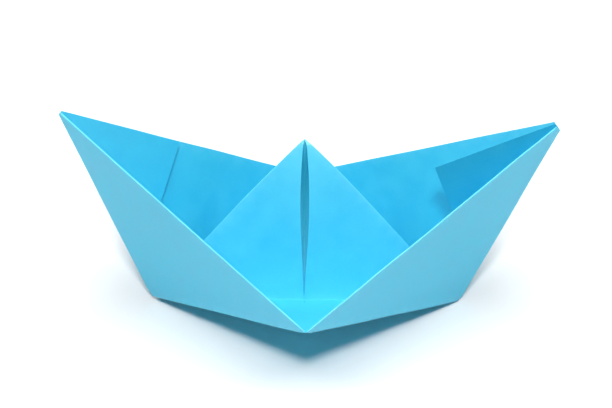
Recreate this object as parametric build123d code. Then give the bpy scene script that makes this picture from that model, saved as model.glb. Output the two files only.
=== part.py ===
from build123d import *
from math import acos, degrees
import os

# Folded paper boat: one rectangular sheet, folded flat and pulled open into a hull.
# X runs along the keel, Y from the near side to the far side, Z up. Every facet of the sheet is a flat plate
# one paper thick. Plates of one layer meet at mitred creases, and a layer that turns back runs round a bend.

# The sheet
sheet_width = 210.0
sheet_length = 297.0
paper = 0.10  # thickness of the paper
pitch = 0.15  # spacing of stacked layers, middle to middle
strip = (sheet_length - sheet_width) / 2  # width of the strips folded up along the two gunwales

# Where the corners of the hull are in the open boat, with the middle of the keel at the origin
keel_half = 51.7
keel_skew = 0.3
left_tip = Vector(-78.8, 6.2, 68.7)
right_tip = Vector(79.8, 7.8, 68.2)
near_rim = Vector(-0.3, -46.8, 25.5)
far_rim = Vector(-1.3, 50.9, 15.2)
peak = Vector(-1.4, 21.6, 49.5)
near_keel = Vector(-0.5, -2.3, 0.9)  # middle of the crease under the sail, inner layers
near_foot = Vector(-0.5, -2.4, -1.0)  # the same crease of the outermost layer, which hangs lower
far_foot = Vector(-0.5, 4.5, -0.72)
lean_angle = 4.5  # the boat leans back until its weight is between the near and far creases of the keel
list_angle = 1.17  # it lists to the right until that end of its keel touches

# What folding by hand has left
left_blunting = 1.5  # how far the folded tips fall short of a sharp point
right_blunting = 3.5
left_flap_lift = 6.5  # degrees that the ends of the near strip spring off the far walls
right_flap_lift = 45.5
left_flap_reach = 45.5  # from the tips to the raw ends of the strips, as the folding left them
right_flap_reach = 43.5
slit_gap = 0.6  # between the two folded edges down the middle of the sail
pinhole = 0.8  # radius of the hole left where the folds of many layers meet at a corner
rim_pinhole = 0.65  # the same at the middle of a gunwale
small_pinhole = 0.35  # the same in a single layer

span = sheet_width  # a slab of twice this width covers any facet
forward = Vector(0, -1, 0)
upward = Vector(0, 0, 1)


class Facet:
    """A flat piece of one layer: the plane in the middle of the paper, and a point inside its outline."""

    def __init__(self, plane, centre):
        self.plane = plane
        self.centre = centre

    def shifted(self, distance):
        return Facet(self.plane.offset(distance), self.centre)


def mean(*points):
    total = Vector(0, 0, 0)
    for point in points:
        total = total + point
    return total / len(points)


def facing(plane, point):
    """The same plane with its normal towards the point."""
    return plane if (point - plane.origin).dot(plane.z_dir) > 0 else -plane


def facet(a, b, c, inside):
    """Facet through three corners, with its normal on the inside of the boat."""
    centre = mean(a, b, c)
    return Facet(facing(Plane(centre, z_dir=(b - a).cross(c - a)), centre + inside), centre)


def tangent_facet(edge, radius, corner, inside):
    """Facet through a corner, touching a bend round the edge; a negative radius puts it behind the bend."""
    reach = corner - edge.position
    across = reach - edge.direction * reach.dot(edge.direction)
    turn = degrees(acos(radius / across.length))
    pivot = Axis((0, 0, 0), edge.direction)
    choices = [across.normalized().rotate(pivot, way * turn) for way in (1, -1)]
    normal = max(choices, key=lambda choice: choice.dot(inside))
    return Facet(Plane(corner, z_dir=normal), mean(corner, edge.position, peak))


def crease(kept, other):
    """Mitre plane between two facets of one layer, facing the kept one."""
    line = kept.plane.intersect(other.plane)
    return facing(Plane(line.position, z_dir=kept.plane.z_dir - other.plane.z_dir), kept.centre)


def end_at(kept, line):
    """Plane through a line, square to the facet and facing it: a plate ends there at a bend or a raw edge."""
    return facing(Plane(line.position, z_dir=line.direction.cross(kept.plane.z_dir)), kept.centre)


def moved_in(kept, line, inset, height):
    """A line moved from an edge into its facet and off its plane."""
    return Axis(line.position + end_at(kept, line).z_dir * inset + kept.plane.z_dir * height, line.direction)


def plate(kept, *limits):
    """One facet of one layer, cut from a slab by the planes round it."""
    slab = kept.plane * Box(2 * span, 2 * span, paper)
    for limit in limits:
        slab = split(slab, bisect_by=limit, keep=Keep.TOP)
    return slab


def bend(line, radius, joined, *limits):
    """The round of a fold back on itself: a ring about the line, less the side of the joined plates."""
    ring = Cylinder(radius + paper / 2, 2 * span) - Cylinder(radius - paper / 2, 2 * span)
    ring = Plane(line.position, z_dir=line.direction) * ring
    limits = [-end_at(kept, line) for kept in joined] + list(limits)
    for limit in limits:
        ring = split(ring, bisect_by=limit, keep=Keep.TOP)
    return ring


class Half:
    """The planes of every layer in the left or right half of the boat, from the outside inwards."""

    def __init__(self, sign, tip, blunting, flap_lift, flap_reach):
        keel = Vector(sign * keel_half, 0, sign * keel_skew)
        hold = mean(near_rim, far_rim) - mean(tip, keel)
        self.bow_end = keel
        self.flap_reach = flap_reach
        self.near_gunwale = Axis(tip, near_rim - tip)
        self.far_gunwale = Axis(tip, far_rim - tip)
        self.bow = Axis(tip, keel - tip)
        self.sail_edge = Axis(keel, peak - keel)

        near_wall = facet(tip, keel, near_rim, hold)
        near_floor = facet(keel, near_keel, near_rim, upward)
        near_sail = tangent_facet(self.sail_edge, 1.5 * pitch, near_keel, forward)
        front_floor = facet(keel, near_foot, near_rim, upward).shifted(-2 * pitch)
        front_sail = tangent_facet(self.sail_edge, -0.5 * pitch, near_foot, forward)
        far_wall = facet(tip, keel, far_rim, hold)
        far_floor = facet(keel, far_foot, far_rim, upward)
        far_sail = tangent_facet(self.sail_edge, 1.5 * pitch, far_foot, -forward)

        # Each layer as its wall, floor and sail: the near side's front layer, the turned-in corner's two
        # layers and the near strip, then the far side's back layer and the far strip
        self.front = (near_wall.shifted(-2 * pitch), front_floor, front_sail)
        self.corner_under = (near_wall.shifted(-pitch), near_floor.shifted(-pitch), near_sail.shifted(-pitch))
        self.corner_over = (near_wall, near_floor, near_sail)
        self.near_strip = (near_wall.shifted(2 * pitch), near_floor.shifted(2 * pitch))
        self.back = (far_wall, far_floor, far_sail)
        self.far_strip = (far_wall.shifted(pitch), far_floor.shifted(pitch))

        # The strips' ends turn round the bow, the far one under the near strip, the near one over the wall
        self.far_strip_end = near_wall.shifted(pitch)
        hinge = far_wall.shifted(2 * pitch).plane.intersect(self.near_strip[0].plane)
        swings = [self.far_gunwale.direction.rotate(hinge, way * flap_lift) for way in (1, -1)]
        self.flap_edge = Axis(tip, max(swings, key=lambda swing: swing.dot(far_wall.plane.z_dir)))
        flap_plane = Plane(hinge.position, z_dir=hinge.direction.cross(self.flap_edge.direction))
        self.flap = Facet(facing(flap_plane, hinge.position + forward * span), far_wall.centre)

        # Lines that the round folds turn about
        self.near_fold = moved_in(near_wall, self.near_gunwale, 2 * pitch + paper / 2, 0)
        self.far_fold = moved_in(far_wall, self.far_gunwale, (pitch + paper) / 2, pitch / 2)
        self.bow_fold = moved_in(near_wall, self.bow, (pitch + paper) / 2, -1.5 * pitch)

        inward = (self.near_gunwale.direction + self.far_gunwale.direction + self.bow.direction).normalized()
        self.blunt = Plane(tip + inward * blunting, z_dir=inward)
        self.sail_foot = Plane(keel, z_dir=self.sail_edge.direction)


def slit_fold(half, other, part):
    """The line that the corner's two layers turn about, beside the slit: 1 is the floor's, 2 the sail's."""
    kept = half.corner_over[part]
    middle = kept.plane.intersect(other.corner_over[part].plane)
    return moved_in(kept, middle, (slit_gap + pitch + paper) / 2, -pitch / 2)


def end_of_strip(half, line):
    """Plane across a strip's end, square to the gunwale."""
    return Plane(line.position + line.direction * half.flap_reach, z_dir=-line.direction)


def body_layer(half, wall_end, bow_end, layer, twin):
    """Wall, floor and sail of a layer that runs on into the other half."""
    wall, floor, sail = layer
    yield plate(wall, wall_end, half.blunt, bow_end, crease(wall, floor))
    yield plate(floor, crease(floor, wall), crease(floor, sail), crease(floor, twin[1]))
    yield plate(sail, crease(sail, floor), crease(sail, twin[2]), end_at(sail, half.sail_edge))


def corner_layer(half, other, bow_end, layer):
    """Wall, floor and sail of a layer of the turned-in corner, which ends beside the slit."""
    wall, floor, sail = layer
    yield plate(wall, end_at(wall, half.near_fold), half.blunt, bow_end, crease(wall, floor))
    yield plate(floor, crease(floor, wall), crease(floor, sail), end_at(floor, slit_fold(half, other, 1)))
    beside_slit = end_at(sail, slit_fold(half, other, 2))
    yield plate(sail, crease(sail, floor), beside_slit, end_at(sail, half.sail_edge))


def strip_layer(half, gunwale, gunwale_end, bow_end, layer, twin, rim):
    """Wall and floor of a strip, with its raw edge a strip's width below the gunwale."""
    wall, floor = layer
    down = end_at(wall, gunwale).z_dir
    inner_edge = Plane(gunwale.position + down * strip, z_dir=-down)
    yield plate(wall, gunwale_end, half.blunt, bow_end, crease(wall, floor), inner_edge)
    middle = floor.plane.intersect(twin[1].plane).direction
    inward = middle if middle.dot(floor.centre - rim) > 0 else -middle
    floor_edge = Plane(rim + inward * strip, z_dir=-inward)
    yield plate(floor, crease(floor, wall), crease(floor, twin[1]), floor_edge)


def plates(half, other):
    near_end = end_at(half.corner_over[0], half.near_fold)
    far_end = end_at(half.back[0], half.far_fold)
    fold_end = end_at(half.front[0], half.bow_fold)
    yield from body_layer(half, near_end, fold_end, half.front, other.front)
    yield from corner_layer(half, other, fold_end, half.corner_under)
    yield from corner_layer(half, other, crease(half.corner_over[0], half.back[0]), half.corner_over)
    near_bow = crease(half.near_strip[0], half.flap)
    near_edge = (half.near_gunwale, near_end, near_bow)
    yield from strip_layer(half, *near_edge, half.near_strip, other.near_strip, near_rim)
    back_bow = crease(half.back[0], half.corner_over[0])
    yield from body_layer(half, far_end, back_bow, half.back, other.back)
    far_bow = crease(half.far_strip[0], half.far_strip_end)
    far_edge = (half.far_gunwale, far_end, far_bow)
    yield from strip_layer(half, *far_edge, half.far_strip, other.far_strip, far_rim)
    end_bow = crease(half.far_strip_end, half.far_strip[0])
    far_strip_stop = end_of_strip(half, half.near_gunwale)
    yield plate(half.far_strip_end, near_end, half.blunt, end_bow, far_strip_stop)
    flap_bow = crease(half.flap, half.near_strip[0])
    flap_top = end_at(half.flap, moved_in(half.flap, half.flap_edge, paper, 0))
    yield plate(half.flap, flap_top, half.blunt, flap_bow, end_of_strip(half, half.flap_edge))


def bends(half, other):
    front, under, over, back = half.front, half.corner_under, half.corner_over, half.back
    near_middle = crease(half.near_strip[1], other.near_strip[1])
    far_middle = crease(half.far_strip[1], other.far_strip[1])
    yield bend(half.near_fold, 2 * pitch, [front[0]], half.blunt, near_middle)
    yield bend(half.far_fold, pitch / 2, [back[0]], half.blunt, far_middle)
    yield bend(half.bow_fold, pitch / 2, [front[0]], half.blunt, crease(front[0], front[1]))
    sail_middle = crease(over[2], other.corner_over[2])
    yield bend(half.sail_edge, pitch / 2, [front[2], under[2]], half.sail_foot, sail_middle)
    yield bend(half.sail_edge, 1.5 * pitch, [over[2], back[2]], half.sail_foot, sail_middle)
    floor_limits = (crease(over[1], over[0]), crease(over[1], over[2]))
    yield bend(slit_fold(half, other, 1), pitch / 2, [over[1]], *floor_limits)
    sail_limits = (crease(over[2], over[1]), end_at(over[2], half.sail_edge))
    yield bend(slit_fold(half, other, 2), pitch / 2, [over[2]], *sail_limits)


def meeting_point(floor, sail, other_floor):
    """Where the keel creases of one layer meet in the middle of the boat."""
    return floor.plane.intersect(sail.plane).intersect(other_floor.plane)


def pinholes(left, right):
    """Small holes at the corners where creases meet, as the point of a fold leaves in paper."""
    for centre in (left.bow_end, right.bow_end, peak, near_keel):
        yield Pos(centre) * Sphere(pinhole)
    for centre in (near_rim, far_rim):
        yield Pos(centre) * Sphere(rim_pinhole)
    for layer, twin in ((left.front, right.front), (left.back, right.back)):
        yield Pos(meeting_point(layer[1], layer[2], twin[1])) * Sphere(small_pinhole)


def folded_sheet():
    left = Half(-1, left_tip, left_blunting, left_flap_lift, left_flap_reach)
    right = Half(1, right_tip, right_blunting, right_flap_lift, right_flap_reach)
    solids = []
    for half, other in ((left, right), (right, left)):
        solids.extend(plates(half, other))
        solids.extend(bends(half, other))
    sheet = solids[0].fuse(*solids[1:]).cut(*pinholes(left, right))
    sheet = sheet.rotate(Axis.X, -lean_angle).rotate(Axis.Y, list_angle)
    bounds = sheet.bounding_box()
    return sheet.translate((-bounds.center().X, -bounds.center().Y, -bounds.min.Z))


boat = folded_sheet()
os.makedirs("parts", exist_ok=True)
export_step(boat, "parts/folded_sheet.step")
print("solids", len(boat.solids()), "volume", boat.volume, "sheet volume", sheet_width * sheet_length * paper)
print("size", boat.bounding_box().size, "valid", boat.is_valid)
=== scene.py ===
"""Blue paper boat on a white table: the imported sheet, given the curves, creases and finish of real paper.

Everything is in metres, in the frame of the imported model. The boat's keel runs along X, and its near side
faces -Y.
"""
from math import pi, radians

import bmesh
import bpy
import numpy as np
from mathutils import Matrix, Vector


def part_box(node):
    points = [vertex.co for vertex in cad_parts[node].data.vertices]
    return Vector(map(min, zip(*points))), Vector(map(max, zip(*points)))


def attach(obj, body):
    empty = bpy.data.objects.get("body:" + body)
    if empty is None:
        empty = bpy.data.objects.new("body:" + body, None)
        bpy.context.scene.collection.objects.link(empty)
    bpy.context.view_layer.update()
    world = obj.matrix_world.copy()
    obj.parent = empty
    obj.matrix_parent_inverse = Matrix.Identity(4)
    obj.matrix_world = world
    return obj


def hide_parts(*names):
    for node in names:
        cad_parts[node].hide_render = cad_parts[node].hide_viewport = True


MM = 0.001
SEED = 7


def corner(x, y, z):
    return np.array([x, y, z]) * MM


# The corners where the sheet's creases meet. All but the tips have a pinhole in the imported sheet, closed here.
LEFT_TIP, RIGHT_TIP = corner(-78.80, 8.05, 70.73), corner(79.76, 9.61, 66.87)
LEFT_KEEL, RIGHT_KEEL = corner(-53.10, -3.54, 1.89), corner(50.29, -3.49, 0.38)
NEAR_RIM, FAR_RIM = corner(-1.11, -48.17, 30.23), corner(-2.47, 48.42, 12.32)
PEAK, NEAR_KEEL = corner(-1.83, 21.90, 48.81), corner(-1.88, -5.74, 2.22)
PINHOLE = 0.8 * MM
RIM_PINHOLE = 0.65 * MM
PINHOLE_RIM = 0.95  # share of its radius where a pinhole's rim starts
PINHOLE_REACH = 2.5  # how many radii from its centre the paper is drawn in
PINHOLE_CLOSED = 0.02  # how small it stays, as a share of that reach

GRID = 3.5 * MM  # the sheet's faces are cut to this size, so that they can curve
WELD = 0.0001 * MM
SHARP = radians(18)  # edges sharper than this stay creased

# The slit down the middle of the sail, where the two folded edges have drawn apart
SLIT_HALF = 0.3 * MM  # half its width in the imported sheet
SLIT_CLOSED = 0.05 * MM  # half its width at its ends
SLIT_OPEN = 1.32 * MM  # half its width at its widest
SLIT_WIDEST = 0.38  # how far down the sail that is
SLIT_TOP, SLIT_FOOT = 0.6, 1.5  # how bluntly it closes above and below: the lower, the blunter
SLIT_REACH = 24 * MM  # how far from the slit the paper gives way
LIFT = 1.3 * MM  # how far its edges stand proud of the sail
LIFT_REACH = 11 * MM
HOLLOW = 2.6 * MM  # how far the layers behind it bow away
HOLLOW_REACH = 8 * MM
HOLLOW_TOP = 0.25  # how far down the sail the hollow has its full depth
RIDGE = 0.5 * MM  # how far the crease down the middle of the first of them stands up
RIDGE_REACH = 0.7 * MM
LAYER_DROP = 0.45 * MM  # how far behind the sail's plane those layers start, at the keel
FAR_START, FAR_DROP = 0.45 * MM, 2.2 * MM  # how deep the far face starts, at its edge, and more by the keel
FAR_REACH = 16 * MM  # how widely the far face gives way to the hollow
SAIL_DEPTH = 9 * MM  # no layer of the sail is further from its plane than this
SAIL_MARGIN = (-0.02, 1.1)  # how far past its folded edge and its foot the sail is taken to reach

# Slow waves of the whole sheet
COCKLE = 0.10 * MM
COCKLE_WAVES = 9
COCKLE_LENGTHS = (22 * MM, 60 * MM)
COCKLE_WAY = (0.5, 1, 0.7)  # how much they move along X, Y and Z
COCKLE_FOOT = 8 * MM  # below this height they fade, so that the boat stands as packed

FOLD_WEAR_AND_HIGHLIGHT_WIDTH = 0.6 * MM  # width of the paler line painted along each fold: partly fibre wear, partly a painted highlight of the rounded bend

# The dyed paper
DEEP_BLUE, BRIGHT_BLUE = (0.020, 0.555, 0.83, 1), (0.030, 0.60, 0.85, 1)
FIBRE_BLUE, FIBRE_SHARE = (0.08, 0.67, 0.87, 1), 0.18
# The paler blue along the folds: partly fibre wear, partly a painted highlight where light catches the rounded
# bends
FOLD_WEAR_AND_HIGHLIGHT_BLUE, FOLD_WEAR_AND_HIGHLIGHT_SHARE = (0.17, 0.74, 0.92, 1), 0.2
MOTTLE_SCALE, FIBRE_SCALE = 160, 1500  # per metre
MOTTLE_RANGE, FIBRE_RANGE = (0.3, 0.7), (0.35, 0.75)  # of the noise
PAPER_ROUGHNESS = (0.42, 0.55)

TABLE_SIZE = 4  # metres

# Each lamp's name, place, width and power. All shine at the boat.
LAMPS = (
    ("top_light", (0, 0.1, 0.9), 0.5, 4.7),
    ("front_light", (0, -0.46, 0.8), 0.12, 4.3),
    ("left_light", (-0.65, 0.1, 0.7), 0.4, 3.9),
    ("right_light", (0.65, 0.1, 0.7), 0.4, 4.0),
)

CAMERA_TARGET = Vector((-1.37, 4.18, 0.86)) * MM  # from the middle of the boat
CAMERA_DISTANCE = 467.0 * MM
CAMERA_ELEVATION = radians(40.882)
CAMERA_HEADING = radians(0.280)
CAMERA_ROLL = radians(0.106)
CAMERA_LENS = 84.76


def unit(v):
    return v / np.linalg.norm(v)


def falloff(distance, reach):
    return np.exp(-(distance / reach) ** 2)


def fine_copy(node):
    """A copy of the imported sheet, welded and cut into small faces."""
    bm = bmesh.new()
    bm.from_mesh(node.data)
    bmesh.ops.remove_doubles(bm, verts=bm.verts, dist=WELD)
    low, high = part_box(node.name)
    for axis in range(3):
        normal = Vector((0, 0, 0))
        normal[axis] = 1
        for cut in np.arange(low[axis] + GRID / 2, high[axis], GRID):
            everything = [*bm.verts, *bm.edges, *bm.faces]
            bmesh.ops.bisect_plane(bm, geom=everything, dist=WELD, plane_co=normal * cut, plane_no=normal)
    bmesh.ops.triangulate(bm, faces=bm.faces)
    mesh = bpy.data.meshes.new("paper_boat")
    bm.to_mesh(mesh)
    bm.free()
    return mesh


def close_pinholes(points):
    """Draws the rim of each pinhole in to its corner."""
    holes = [(c, PINHOLE) for c in (LEFT_KEEL, RIGHT_KEEL, PEAK, NEAR_KEEL)]
    holes += [(c, RIM_PINHOLE) for c in (NEAR_RIM, FAR_RIM)]
    for centre, radius in holes:
        away = points - centre
        distance = np.linalg.norm(away, axis=1)
        reach = PINHOLE_REACH * radius
        rim = PINHOLE_RIM * radius
        drawn = np.clip((distance - rim) / (reach - rim), PINHOLE_CLOSED, 1) * reach
        near = distance < reach
        points[near] += away[near] * (drawn[near] / distance[near] - 1)[:, None]


def lens(down):
    """How open the slit is, from 0 to 1, at a share of the way down it."""
    above = np.sin(pi / 2 * np.clip(down / SLIT_WIDEST, 0, 1)) ** SLIT_TOP
    below = np.cos(pi / 2 * np.clip((down - SLIT_WIDEST) / (1 - SLIT_WIDEST), 0, 1)) ** SLIT_FOOT
    return above * below


def part_slit(points):
    """Opens the slit, lifts its edges, and bows the layers behind it away."""
    slit = NEAR_KEEL - PEAK
    for keel, side in ((LEFT_KEEL, -1), (RIGHT_KEEL, 1)):
        edge = keel - PEAK
        normal = unit(np.cross(edge, slit)) * -side
        local = points - PEAK
        height = local @ normal
        flat = local - height[:, None] * normal
        (outward, down), *_ = np.linalg.lstsq(np.stack([edge, slit], axis=1), flat.T, rcond=None)
        share = np.clip(local @ slit / (slit @ slit), 0, 1)
        across = (local - share[:, None] * slit)[:, 0] * side
        within = (outward > SAIL_MARGIN[0]) & (outward + down < SAIL_MARGIN[1])
        sail = (across > 0) & within & (np.abs(height) < SAIL_DEPTH)
        open_here = lens(share)
        opening = SLIT_CLOSED + (SLIT_OPEN - SLIT_CLOSED) * open_here - SLIT_HALF
        sideways = opening * falloff(across, SLIT_REACH)
        forward = LIFT * open_here * falloff(across, LIFT_REACH)
        shift = sideways[:, None] * np.array([side, 0, 0]) + forward[:, None] * normal
        front = sail & (height > -LAYER_DROP * down)
        behind = sail & ~front
        backward = HOLLOW * open_here * np.clip(share / HOLLOW_TOP, 0, 1) * falloff(across, HOLLOW_REACH)
        backward -= RIDGE * open_here * falloff(across, RIDGE_REACH)
        far = height < -(FAR_START + FAR_DROP * down)
        backward[far] = (HOLLOW * np.sin(pi * share) * falloff(across, FAR_REACH))[far]
        points[front] += shift[front]
        points[behind] -= (backward[:, None] * normal)[behind]


def cockle(points):
    """Bends the whole sheet in slow waves, with every layer at a place moved alike."""
    rng = np.random.default_rng(SEED)
    shift = np.zeros_like(points)
    for _ in range(COCKLE_WAVES):
        heading = unit(rng.normal(size=3))
        length = rng.uniform(*COCKLE_LENGTHS)
        way = unit(rng.normal(size=3) * np.array(COCKLE_WAY))
        wave = np.sin(points @ heading * 2 * pi / length + rng.uniform(0, 2 * pi))
        shift += COCKLE * wave[:, None] * way / np.sqrt(COCKLE_WAVES / 2)
    points += shift * np.clip(points[:, 2:] / COCKLE_FOOT, 0, 1)


def from_line(points, start, end):
    """How far points are from a stretch of line."""
    along = end - start
    t = np.clip((points - start) @ along / (along @ along), 0, 1)
    return np.linalg.norm(points - start - t[:, None] * along, axis=1)


def fold_wear_and_highlight_mask(points):
    """From 0 to 1, how near each point is to a pressed fold: the mask for the fold wear and painted highlight.
    """
    folds = []
    for tip, keel in ((LEFT_TIP, LEFT_KEEL), (RIGHT_TIP, RIGHT_KEEL)):
        folds += [(tip, NEAR_RIM), (tip, FAR_RIM), (tip, keel), (keel, PEAK), (keel, NEAR_KEEL)]
        folds += [(keel, NEAR_RIM), (keel, FAR_RIM)]
    wear_and_highlight = np.zeros(len(points))
    for start, end in folds:
        wear_and_highlight = np.maximum(wear_and_highlight, falloff(from_line(points, start, end), FOLD_WEAR_AND_HIGHLIGHT_WIDTH))
    return wear_and_highlight


def shape_paper(mesh):
    points = np.zeros(len(mesh.vertices) * 3)
    mesh.vertices.foreach_get("co", points)
    points = points.reshape(-1, 3)
    wear_and_highlight = fold_wear_and_highlight_mask(points)
    close_pinholes(points)
    part_slit(points)
    cockle(points)
    mesh.vertices.foreach_set("co", points.ravel())
    # the "fold" attribute carries the mask for the fold wear and painted highlight
    mesh.attributes.new("fold", "FLOAT", "POINT").data.foreach_set("value", wear_and_highlight)
    mesh.update()


class Nodes:
    """Short ways to add and join a material's nodes."""

    def __init__(self, material):
        material.use_nodes = True
        self.tree = material.node_tree
        self.tree.nodes.clear()

    def add(self, kind, **values):
        node = self.tree.nodes.new("ShaderNode" + kind)
        for name, value in values.items():
            if hasattr(node, name):
                setattr(node, name, value)
            else:
                node.inputs[name.replace("_", " ")].default_value = value
        return node

    def join(self, source, target):
        self.tree.links.new(source, target)

    def noise(self, places, scale, detail=2.0, roughness=0.5):
        node = self.add("TexNoise", Scale=scale, Detail=detail, Roughness=roughness)
        self.join(places, node.inputs["Vector"])
        return node.outputs["Fac"]

    def ranged(self, value, low, high, to_low, to_high):
        node = self.add("MapRange", From_Min=low, From_Max=high, To_Min=to_low, To_Max=to_high)
        self.join(value, node.inputs["Value"])
        return node.outputs[0]

    def mixed(self, share, first, second):
        node = self.add("Mix", data_type="RGBA")
        for value, socket in ((share, node.inputs[0]), (first, node.inputs[6]), (second, node.inputs[7])):
            if isinstance(value, bpy.types.NodeSocket):
                self.join(value, socket)
            else:
                socket.default_value = value
        return node.outputs[2]


def paper_material():
    """Dyed paper: a matt blue with faint fibres and mottling, paler along the folds, partly for fibre wear and
    partly as a painted highlight of the rounded bends.
    """
    mat = bpy.data.materials.new("blue_paper")
    n = Nodes(mat)
    places = n.add("TexCoord").outputs["Object"]
    mottle = n.noise(places, MOTTLE_SCALE, 4, 0.6)
    fibres = n.noise(places, FIBRE_SCALE, 3, 0.65)
    fold = n.add("Attribute", attribute_name="fold").outputs["Fac"]

    blue = n.mixed(n.ranged(mottle, *MOTTLE_RANGE, 0, 1), DEEP_BLUE, BRIGHT_BLUE)
    blue = n.mixed(n.ranged(fibres, *FIBRE_RANGE, 0, FIBRE_SHARE), blue, FIBRE_BLUE)
    # paler along the folds: fibre wear plus a painted highlight of the rounded bends
    blue = n.mixed(n.ranged(fold, 0, 1, 0, FOLD_WEAR_AND_HIGHLIGHT_SHARE), blue, FOLD_WEAR_AND_HIGHLIGHT_BLUE)

    grain = n.add("Bump", Strength=0.25, Distance=0.00008)
    n.join(fibres, grain.inputs["Height"])
    face = n.add("BsdfPrincipled", IOR=1.9)
    n.join(blue, face.inputs["Base Color"])
    n.join(n.ranged(mottle, *MOTTLE_RANGE, *PAPER_ROUGHNESS), face.inputs["Roughness"])
    n.join(grain.outputs["Normal"], face.inputs["Normal"])
    glow = n.add("BsdfTranslucent")
    n.join(blue, glow.inputs["Color"])
    both = n.add("MixShader", Fac=0.15)
    n.join(face.outputs[0], both.inputs[1])
    n.join(glow.outputs[0], both.inputs[2])
    n.join(both.outputs[0], n.add("OutputMaterial").inputs["Surface"])
    return mat


def paper_boat(node):
    mesh = fine_copy(node)
    shape_paper(mesh)
    mesh.shade_smooth()
    mesh.set_sharp_from_angle(angle=SHARP)
    mesh.materials.append(paper_material())
    boat = bpy.data.objects.new("paper_boat", mesh)
    bpy.context.scene.collection.objects.link(boat)
    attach(boat, "root")
    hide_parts("folded_sheet")


def table():
    """The white table top, which isn't part of the boat."""
    bpy.ops.mesh.primitive_plane_add(size=TABLE_SIZE)
    top = bpy.context.object
    top.name = "table"
    mat = bpy.data.materials.new("white_table")
    n = Nodes(mat)
    shader = n.add("BsdfPrincipled", Base_Color=(0.86, 0.86, 0.86, 1), Roughness=0.6, Specular_IOR_Level=0.2)
    n.join(shader.outputs[0], n.add("OutputMaterial").inputs["Surface"])
    top.data.materials.append(mat)


def softbox(name, place, size, power):
    """A round soft light that shines at the boat."""
    light = bpy.data.lights.new(name, "AREA")
    light.shape = "DISK"
    light.size = size
    light.energy = power
    lamp = bpy.data.objects.new(name, light)
    lamp.location = place
    lamp.rotation_euler = (-Vector(place)).to_track_quat("-Z", "Y").to_euler()
    bpy.context.scene.collection.objects.link(lamp)


def studio():
    """White all round for gloss to mirror, with the light itself from above, the front and both ends."""
    table()
    world = bpy.data.worlds.new("studio")
    n = Nodes(world)
    bright = n.add("Background", Color=(1, 1, 1, 1), Strength=1.0)
    dim = n.add("Background", Color=(1, 1, 1, 1), Strength=0.01)
    choice = n.add("MixShader")
    n.join(n.add("LightPath").outputs["Is Diffuse Ray"], choice.inputs[0])
    n.join(bright.outputs[0], choice.inputs[1])
    n.join(dim.outputs[0], choice.inputs[2])
    n.join(choice.outputs[0], n.add("OutputWorld").inputs["Surface"])
    bpy.context.scene.world = world
    for lamp in LAMPS:
        softbox(*lamp)
    bpy.context.scene.view_settings.view_transform = "Standard"


def camera(middle):
    data = bpy.data.cameras.new("camera")
    data.sensor_width = 36
    data.lens = CAMERA_LENS
    data.clip_start = 0.01
    turn = Matrix.Rotation(CAMERA_HEADING, 4, "Z") @ Matrix.Rotation(pi / 2 - CAMERA_ELEVATION, 4, "X")
    turn = turn @ Matrix.Rotation(CAMERA_ROLL, 4, "Z")
    back = turn @ Vector((0, 0, CAMERA_DISTANCE))
    eye = bpy.data.objects.new("camera", data)
    eye.matrix_world = Matrix.Translation(middle + CAMERA_TARGET + back) @ turn
    bpy.context.scene.collection.objects.link(eye)
    bpy.context.scene.camera = eye


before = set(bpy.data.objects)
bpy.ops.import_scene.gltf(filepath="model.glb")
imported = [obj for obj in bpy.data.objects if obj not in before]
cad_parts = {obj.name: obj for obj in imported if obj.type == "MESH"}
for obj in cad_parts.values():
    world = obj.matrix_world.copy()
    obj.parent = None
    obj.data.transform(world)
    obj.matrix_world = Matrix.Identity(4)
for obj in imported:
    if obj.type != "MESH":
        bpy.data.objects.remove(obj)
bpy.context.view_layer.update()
low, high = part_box("folded_sheet")
paper_boat(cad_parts["folded_sheet"])
camera((low + high) / 2)
studio()
